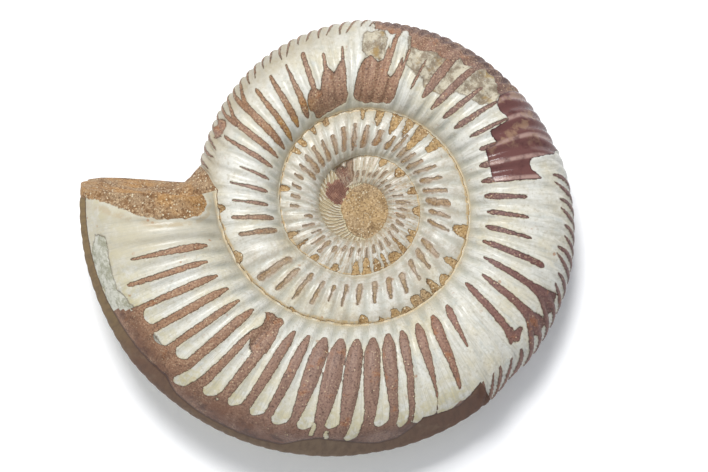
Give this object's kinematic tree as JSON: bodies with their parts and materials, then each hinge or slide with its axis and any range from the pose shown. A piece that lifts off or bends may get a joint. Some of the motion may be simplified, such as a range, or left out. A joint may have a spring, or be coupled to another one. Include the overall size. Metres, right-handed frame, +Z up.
{
  "type": "perisphinctes ammonite",
  "caption": "Fossil ammonite lying on its side: an evolute ribbed coil with a broken mouth, polished shell over brown stone, and matrix at its centre.",
  "frame": {"origin": "centre of the box's underside, on the surface that the fossil lies on", "axes": "+Z up, out of the face that shows; +X to the right, away from the broken mouth, along the longest extent; +Y to the back, the way the broken mouth faces"},
  "size_m": [0.1549, 0.1375, 0.0429],
  "materials": {
    "fossil_shell": "polished cream-white calcite shell, with brown to maroon stone where the ribs are worn through, and sandy tan matrix in the hollows and on the break"
  },
  "bodies": {
    "root": {"ammonite": "fossil_shell"}
  },
  "joints": []
}
